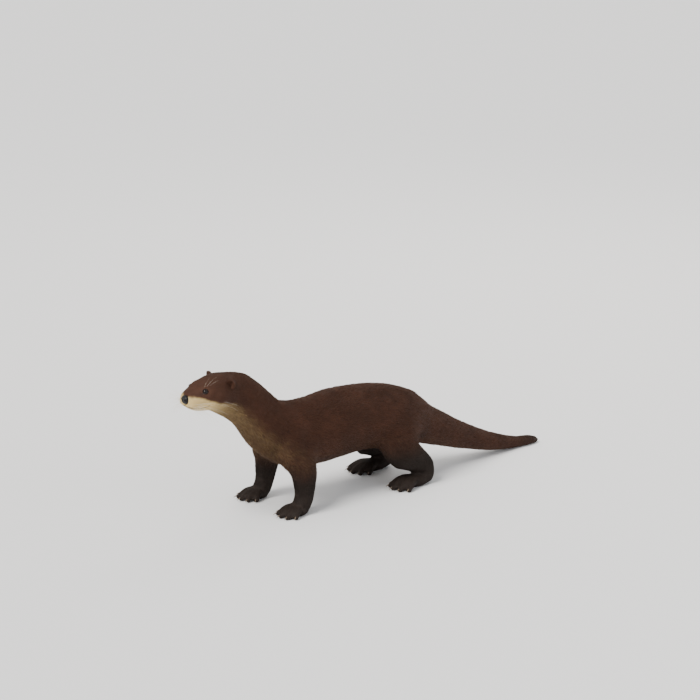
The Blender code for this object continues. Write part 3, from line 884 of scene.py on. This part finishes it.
class Tufts:
    """One kind of tuft: a closed blade with a ridge, made of rings of three corners and a tip."""

    def __init__(self, kind, count, sections, slender, least, lift, shortest):
        self.kind = kind
        self.count = count
        self.sections = sections
        self.slender = slender
        self.least = least
        self.lift = math.radians(lift)
        self.shortest = shortest
        rings = len(sections) - 1
        self.corners = 3 * rings + 1
        self.faces = [(2, 1, 0)]
        for ring in range(rings - 1):
            for k in range(3):
                j = (k + 1) % 3
                self.faces.append((3 * ring + k, 3 * ring + j, 3 * ring + 3 + j, 3 * ring + 3 + k))
        top = 3 * (rings - 1)
        self.faces += [(top + k, top + (k + 1) % 3, top + 3) for k in range(3)]
        self.triangles = sum(len(face) - 2 for face in self.faces)

    def width(self, length):
        """How wide a tuft of that length is."""
        return self.slender * length + self.least

    def shapes(self, roots, choice):
        """The chosen tufts' corners, their UVs, and how far along its tuft each corner is."""
        n = len(choice)
        normal = unit(roots.normal[choice])
        lie = roots.lie[choice]
        lie = unit(lie - normal * (lie * normal).sum(1)[:, None])
        across = np.cross(normal, lie)
        turn = roots.turn[choice][:, None]
        lie, across = lie * np.cos(turn) + across * np.sin(turn), across * np.cos(turn) - lie * np.sin(turn)
        length, width, lift, curl = (
            getattr(roots, name)[choice][:, None] for name in ("length", "width", "lift", "curl")
        )
        sink = np.minimum(0.08 * MM + 0.018 * length, 0.35 * MM)
        root = roots.co[choice] - lie * length * ROOT_BACK - normal * sink
        co = np.empty((n, self.corners, 3))
        for ring, t in enumerate(self.sections):
            line = root + lie * length * t * np.cos(lift) + across * length * curl * t * t
            line = line + normal * length * np.sin(lift) * t * (1.25 - 0.45 * t)
            if t == 1:
                co[:, -1] = line
                continue
            co[:, 3 * ring] = line - across * width / 2
            co[:, 3 * ring + 1] = line + across * width / 2
            co[:, 3 * ring + 2] = line + normal * width * RIDGE_HEIGHT
        co[:, :, 2] = np.maximum(co[:, :, 2], HAIR_LOWEST)
        side = np.append(np.tile([-0.5, 0.5, 0.0], len(self.sections) - 1), 0)
        reach = np.append(np.repeat(self.sections[:-1], 3), 1.0)
        patch = np.stack([side, reach - 0.5], 1) * UV_PATCH
        uv = roots.uv[choice][:, None, :] + patch[None]
        return co.reshape(-1, 3), uv.reshape(-1, 2), np.tile(reach, n)

    def piece(self, name, roots, choice):
        """One coat piece from the chosen tufts."""
        co, uv, tip = self.shapes(roots, choice)
        n = len(choice)
        pattern = np.concatenate(self.faces)
        sizes = np.tile([len(face) for face in self.faces], n)
        loops = (pattern[None] + self.corners * np.arange(n)[:, None]).ravel()
        starts = np.cumsum(sizes) - sizes
        mesh = bpy.data.meshes.new(name)
        mesh.vertices.add(len(co))
        write(mesh.vertices, "co", co)
        mesh.loops.add(len(loops))
        write(mesh.loops, "vertex_index", loops, np.int32)
        mesh.polygons.add(len(starts))
        write(mesh.polygons, "loop_start", starts, np.int32)
        mesh.update(calc_edges=True)
        mesh.shade_smooth()
        write(mesh.uv_layers.new(name="OFBake").uv, "vector", uv[loops])
        set_attribute(mesh, "tip", tip)
        for attribute in ("pale", "dark", "shade"):
            set_attribute(mesh, attribute, np.repeat(getattr(roots, attribute)[choice], self.corners))
        return new_object(name, mesh)


HAIRS = 215_000
LOCKS = 61_000
KINDS = (
    Tufts("hair", HAIRS, (0.0, 1.0), 0.043, 0.23 * MM, lift=9.5, shortest=0),
    Tufts("locks", LOCKS, (0.0, 0.42, 1.0), 0.062, 0.30 * MM, lift=12.5, shortest=0.0075),
)
REGIONS = ("head", "neck", "trunk", "tail", "forelegs", "hindlegs")


def region_of(co):
    """Which of REGIONS each place belongs to, and its distance along the spine."""
    along, legs, *_ = body_places(co)
    borders = in_head(0, HEAD_END, 0), end_middle("trunk", NECK_CUT), end_middle("trunk", TAIL_CUT)
    region = np.searchsorted(SPINE.nearest(np.array(borders))[0], along)
    return np.where(legs > 0.6, REGIONS.index("forelegs") + (co[:, 1] > LEGS_PART), region), along


def make_coat(skin, ear_from):
    """The coat as joined tufts: one or more pieces for each region of the body."""
    mesh = skin.data
    co = coordinates(mesh)
    ears = np.arange(len(co)) >= ear_from
    lie, flow_along, across = lie_of_coat(mesh, ear_from)
    pale, dark = markings(co)
    bare = bareness(co, normals_of(mesh))
    bare[ears] = 0
    flow = np.column_stack([flow_along, across[:, 0] - 0.4 * across[:, 1], across[:, 2]])
    for name, values in (("pale", pale), ("dark", dark), ("bare", bare), ("flow", flow)):
        set_attribute(mesh, name, values)
    length = coat_length(co, ears)
    nose_middle = np.array(in_head(0, 0.0065, 0))
    on_nose = np.linalg.norm((co - nose_middle) / (np.array(NOSE_SIZE) * 0.56), axis=1) < 1.0
    fields = {
        "co": co,
        "normal": normals_of(mesh),
        "lie": lie,
        "length": length,
        "pale": pale,
        "dark": dark,
        "rise": np.where(ears, 0.05, 0.35 * (1 - ramp(distance_to("ear", co), 0.010, 0.019))),
        "calm": mix(0.35, 1.0, ramp(distance_to("eye", co), 0.006, 0.013)),
    }
    pieces = []
    for tufts in KINDS:
        density = (length * tufts.width(length)) ** -CROWDING
        density[on_nose | (bare > 0.5)] = 0
        density *= ramp(length, 0.6 * tufts.shortest, 1.4 * tufts.shortest) if tufts.shortest else 1
        count = tufts.count
        roots = Roots(skin, fields, density, count)
        wave = rippled(roots.co, WAVE_SCALE, 11)
        fine = rippled(roots.co, FINE_SCALE, 17)
        roots.turn = 0.15 * wave + 0.09 * fine + RNG.normal(0, 0.08, count)
        roots.length = roots.length * RNG.uniform(0.75, 1.2, count)
        roots.width = tufts.width(roots.length) * RNG.uniform(0.80, 1.25, count)
        roots.width *= 1
        longer = np.interp(roots.length, [0.004, 0.012], [0.75, 1.0])
        roots.lift = tufts.lift * longer * RNG.uniform(0.6, 1.5, count) + 0.04 * fine
        roots.lift = roots.lift * roots.calm + roots.rise
        roots.curl = RNG.normal(0, 0.06, count) + 0.08 * wave
        roots.shade = np.clip(0.5 + 0.16 * wave + 0.15 * RNG.normal(0, 1, count), 0, 1)
        roots.pale = np.clip(roots.pale + 0.045 * RNG.normal(0, 1, count) * (roots.pale > 0.03), 0, 1)
        region, along = region_of(roots.co)
        for index, name in enumerate(REGIONS):
            mine = np.flatnonzero(region == index)
            mine = mine[np.argsort(along[mine], kind="stable")]
            parts = math.ceil(len(mine) * tufts.triangles / PIECE_TRIANGLES)
            for k, choice in enumerate(np.array_split(mine, parts)):
                pieces.append(tufts.piece(f"coat_{name}_{tufts.kind}_{k + 1}", roots, choice))
    return pieces


def unwrapped(skin):
    """Gives the skin its OFBake map."""
    skin.data.uv_layers.new(name="OFBake")
    bpy.context.view_layer.objects.active = skin
    for obj in bpy.context.selected_objects:
        obj.select_set(False)
    skin.select_set(True)
    bpy.ops.object.mode_set(mode="EDIT")
    bpy.ops.mesh.select_all(action="SELECT")
    bpy.ops.uv.smart_project(angle_limit=math.radians(66), island_margin=0.002)
    bpy.ops.object.mode_set(mode="OBJECT")


# ---------- materials

BROWN = (0.066, 0.026, 0.0138)
DARK_BROWN = (0.028, 0.0185, 0.0140)
CREAM = (0.83, 0.61, 0.27)
BARE_SKIN = (0.020, 0.014, 0.012)
NOSE_BLACK = (0.0065, 0.0058, 0.0058)


class Look:
    """A material, with short ways to add its nodes. A socket takes a number, a colour or a node's output."""

    def __init__(self, name, **settings):
        self.material = bpy.data.materials.new(name)
        self.material.use_nodes = True
        self.tree = self.material.node_tree
        self.shader = self.tree.nodes["Principled BSDF"]
        for key, value in settings.items():
            self.put(self.shader.inputs[key.replace("_", " ")], value)

    def put(self, socket, value):
        """Links or sets one socket."""
        if isinstance(value, bpy.types.NodeSocket):
            self.tree.links.new(value, socket)
        elif socket.type == "RGBA":
            socket.default_value = (*value[:3], 1)
        else:
            socket.default_value = value

    def add(self, kind, inputs, output=0, **settings):
        """A new node, and one of its outputs."""
        made = self.tree.nodes.new("ShaderNode" + kind)
        for key, value in settings.items():
            setattr(made, key, value)
        for key, value in inputs.items():
            self.put(made.inputs[key], value)
        return made.outputs[output]

    def attribute(self, name, output="Fac"):
        return self.add("Attribute", {}, output, attribute_name=name)

    def mixed(self, a, b, share, blend="MIX"):
        inputs = {0: share, 6: a, 7: b}
        return self.add("Mix", inputs, 2, data_type="RGBA", blend_type=blend)

    def math(self, operation, a, b=0.0):
        return self.add("Math", {0: a, 1: b}, operation=operation)

    def ranged(self, value, low, high, to_low=0.0, to_high=1.0):
        inputs = {"Value": value, "From Min": low, "From Max": high, "To Min": to_low, "To Max": to_high}
        return self.add("MapRange", inputs, interpolation_type="SMOOTHSTEP")

    def noise(self, scale, detail=3.0, rough=0.55, vector=None):
        inputs = {"Vector": vector or self.place(), "Scale": scale, "Detail": detail, "Roughness": rough}
        return self.add("TexNoise", inputs)

    def place(self):
        return self.add("TexCoord", {}, "Object")

    def scaled(self, vector, scale):
        return self.add("Mapping", {"Vector": vector, "Scale": scale})

    def bump(self, height, strength, distance):
        inputs = {"Height": height, "Strength": strength, "Distance": distance}
        normal = self.add("Bump", inputs)
        self.put(self.shader.inputs["Normal"], normal)

    def colour(self, value):
        self.put(self.shader.inputs["Base Color"], value)

    def give(self, *objects):
        """Puts the material on objects."""
        for obj in objects:
            obj.data.materials.clear()
            obj.data.materials.append(self.material)


def coat_colour(look):
    """The coat's colour from its markings, which skin and tufts share."""
    broad = look.noise(14.0)
    warm = look.mixed(BROWN, tuple(1.30 * c for c in BROWN), look.ranged(broad, 0.35, 0.7))
    base = look.mixed(warm, DARK_BROWN, look.attribute("dark"))
    return look.mixed(base, CREAM, look.ranged(look.attribute("pale"), 0.02, 1.0))


def shaded(look, colour, factor):
    """The colour times a factor."""
    return look.add("VectorMath", {0: colour, 3: factor}, operation="SCALE")


def fur_material():
    """The tufts: darker at the root, paler at the tip, each a little different, with fine strands."""
    look = Look("fur", Roughness=0.58, Specular_IOR_Level=0.23)
    tip = look.attribute("tip")
    shade = look.ranged(look.attribute("shade"), 0.0, 1.0, 0.74, 1.24)
    along = look.ranged(tip, 0.0, 1.0, 0.68, 1.14)
    colour = shaded(look, coat_colour(look), look.math("MULTIPLY", shade, along))
    look.colour(colour)
    strands = look.noise(2600.0, 2.0)
    look.bump(strands, 0.35, 0.0003)
    return look


def skin_material():
    """The skin under the coat: the same markings, darker, with short flat hair as streaks along the lie."""
    look = Look("skin", Roughness=0.68, Specular_IOR_Level=0.20)
    flow = look.attribute("flow", "Vector")
    streaks = look.noise(1.0, 3.0, 0.6, look.scaled(flow, (140, 1500, 1500)))
    colour = shaded(look, coat_colour(look), look.ranged(streaks, 0.3, 0.7, 0.50, 0.85))
    pebble = look.noise(420.0, 4.0)
    leather = look.mixed(BARE_SKIN, tuple(1.9 * c for c in BARE_SKIN), look.ranged(pebble, 0.35, 0.65))
    bare = look.attribute("bare")
    look.colour(look.mixed(colour, leather, bare))
    relief = look.add("Mix", {0: bare, 2: streaks, 3: pebble})
    look.bump(relief, 0.5, 0.0006)
    return look


def nose_material():
    """Moist black leather with a fine pebble, and painted shade that makes the nostrils' insides near-black.
    """
    look = Look("nose_skin", Specular_IOR_Level=0.14, Coat_Weight=0.10, Coat_Roughness=0.24)
    cells = look.add("TexVoronoi", {"Vector": look.place(), "Scale": 1500.0}, "Distance")
    colour = look.mixed(NOSE_BLACK, (0.010, 0.009, 0.0088), look.ranged(cells, 0.1, 0.8))
    # Painted shade: where the pit attribute is 1, the nostrils' insides are painted near-black.
    look.colour(look.mixed(colour, (0.001, 0.001, 0.001), look.attribute("pit")))
    look.bump(cells, 0.30, 0.0002)
    rough = look.ranged(look.noise(300.0), 0.3, 0.7, 0.34, 0.52)
    look.put(look.shader.inputs["Roughness"], rough)
    return look


def eye_material():
    """A dark eye: near-black iris round a black pupil, under a clear wet surface."""
    look = Look("eye", Roughness=0.15, Specular_IOR_Level=0.05, Coat_Weight=0.40, Coat_Roughness=0.02)
    off = look.attribute("from_pole")
    fibres = look.noise(1400.0, 2.0)
    iris = look.mixed((0.007, 0.003, 0.002), (0.018, 0.008, 0.004), fibres)
    iris = look.mixed((0.002, 0.002, 0.002), iris, look.ranged(off, 0.36, 0.44))
    look.colour(look.mixed(iris, (0.010, 0.007, 0.006), look.ranged(off, 0.80, 0.90)))
    return look


def claw_material():
    """Horn: dark brown at the toe, paler towards the point, with fine grain."""
    look = Look("claw", Roughness=0.38, Coat_Weight=0.15, Coat_Roughness=0.25)
    grain = look.noise(1.0, vector=look.scaled(look.place(), (1800, 300, 1800)))
    horn = look.mixed((0.055, 0.036, 0.024), (0.240, 0.180, 0.125), look.attribute("reach"))
    look.colour(shaded(look, horn, look.ranged(grain, 0.3, 0.7, 0.8, 1.15)))
    look.bump(grain, 0.25, 0.0002)
    return look


def whisker_material():
    """Stiff hairs, off-white and slightly yellow, darker in places."""
    look = Look("whisker", Roughness=0.35, Specular_IOR_Level=0.6)
    tone = look.noise(60.0)
    look.colour(look.mixed((0.60, 0.52, 0.39), (0.82, 0.77, 0.66), look.ranged(tone, 0.3, 0.7)))
    look.bump(look.noise(3000.0), 0.1, 0.0001)
    return look


# ---------- light, floor and camera

VIEW_BACK = Vector((0.763, -0.588, 0.269)).normalized()
VIEW_RIGHT = Vector((0.610, 0.792, 0)).normalized()
VIEW_UP = VIEW_BACK.cross(VIEW_RIGHT)
VIEW_DISTANCE = 6.0
TARGET_RIGHT = -0.0468
TARGET_UP = 0.3064
LENS_PER_METRE = 22.27
SENSOR = 36.0
SURROUND_STRENGTH = 0.85
BODY_MIDDLE = (0, 0, 0.15)


def aimed(name, data, place, target):
    """A new camera or light at place, looking at target."""
    obj = new_object(name, data)
    obj.location = place
    obj.rotation_euler = (Vector(target) - Vector(place)).to_track_quat("-Z", "Y").to_euler()
    return obj


def light(name, kind, place, target, **settings):
    """A new light at place, shining at target."""
    data = bpy.data.lights.new(name, kind)
    for key, value in settings.items():
        setattr(data, key, value)
    aimed(name, data, place, target)


def make_camera():
    """A long lens at the viewing angle."""
    data = bpy.data.cameras.new("view")
    data.sensor_width = SENSOR
    data.lens = LENS_PER_METRE * VIEW_DISTANCE
    data.clip_end = 100
    target = VIEW_RIGHT * TARGET_RIGHT + VIEW_UP * TARGET_UP
    bpy.context.scene.camera = aimed("view", data, target + VIEW_BACK * VIEW_DISTANCE, target)


def make_studio():
    """A pale floor, a pale surround, and soft lights."""
    bm = bmesh.new()
    bmesh.ops.create_grid(bm, x_segments=1, y_segments=1, size=30)
    floor = object_of(bm, "floor")
    look = Look("floor", Roughness=0.75, Specular_IOR_Level=0.2)
    look.colour((0.82, 0.82, 0.82))
    look.give(floor)
    world = bpy.data.worlds.new("studio")
    world.use_nodes = True
    background = world.node_tree.nodes["Background"]
    background.inputs["Color"].default_value = (1, 1, 1, 1)
    background.inputs["Strength"].default_value = SURROUND_STRENGTH
    bpy.context.scene.world = world
    right, back = VIEW_RIGHT, Vector((VIEW_BACK.x, VIEW_BACK.y, 0)).normalized()
    up = Vector((0, 0, 1))
    place = right * -1.9 + back * 1.7 + up * 3.0
    light("key", "SUN", place, (0, 0, 0), energy=4.0, angle=math.radians(28), color=(1.0, 0.975, 0.94))
    for name, place, size, energy, colour in (
        ("fill", right * 2.6 + back * 1.6 + up * 1.4, (2.0, 2.0), 20, (0.93, 0.96, 1.0)),
        ("rim", right * 0.8 - back * 2.4 + up * 2.2, (1.8, 1.0), 24, (1.0, 0.93, 0.86)),
    ):
        shape = {"shape": "RECTANGLE", "size": size[0], "size_y": size[1]}
        light(name, "AREA", place, BODY_MIDDLE, energy=energy, color=colour, **shape)


# ---------- everything together

make_camera()
make_studio()
skin = make_skin()
skin_vertices = len(skin.data.vertices)
tree = BVHTree.FromPolygons(coordinates(skin.data).tolist(), [p.vertices[:] for p in skin.data.polygons])
whiskers = make_whiskers(tree)
skin = joined([skin.data] + [make_ear(side, mirror).data for side, mirror in SIDES], "skin")
unwrapped(skin)
coat = make_coat(skin, skin_vertices)
skin_material().give(skin)
fur_material().give(*coat)
whisker_material().give(whiskers)
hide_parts(*FLESH, *[f"ear_{side}" for side, _ in SIDES])
for piece in (skin, whiskers, *coat):
    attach(piece, "root")

eyes = {f"eye_{side}": make_eye(eye, side) for eye, (side, _) in zip(EYES, SIDES, strict=True)}
claws = {name: make_claw(name) for name in sorted(NODES) if name.startswith("claw")}
for material, slot, pieces in (
    (eye_material(), "eye", eyes),
    (nose_material(), "nose_skin", {"nose": make_nose()}),
    (claw_material(), "claw", claws),
):
    for node, piece in pieces.items():
        material.give(piece)
        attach(piece, "root")
        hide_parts(node)
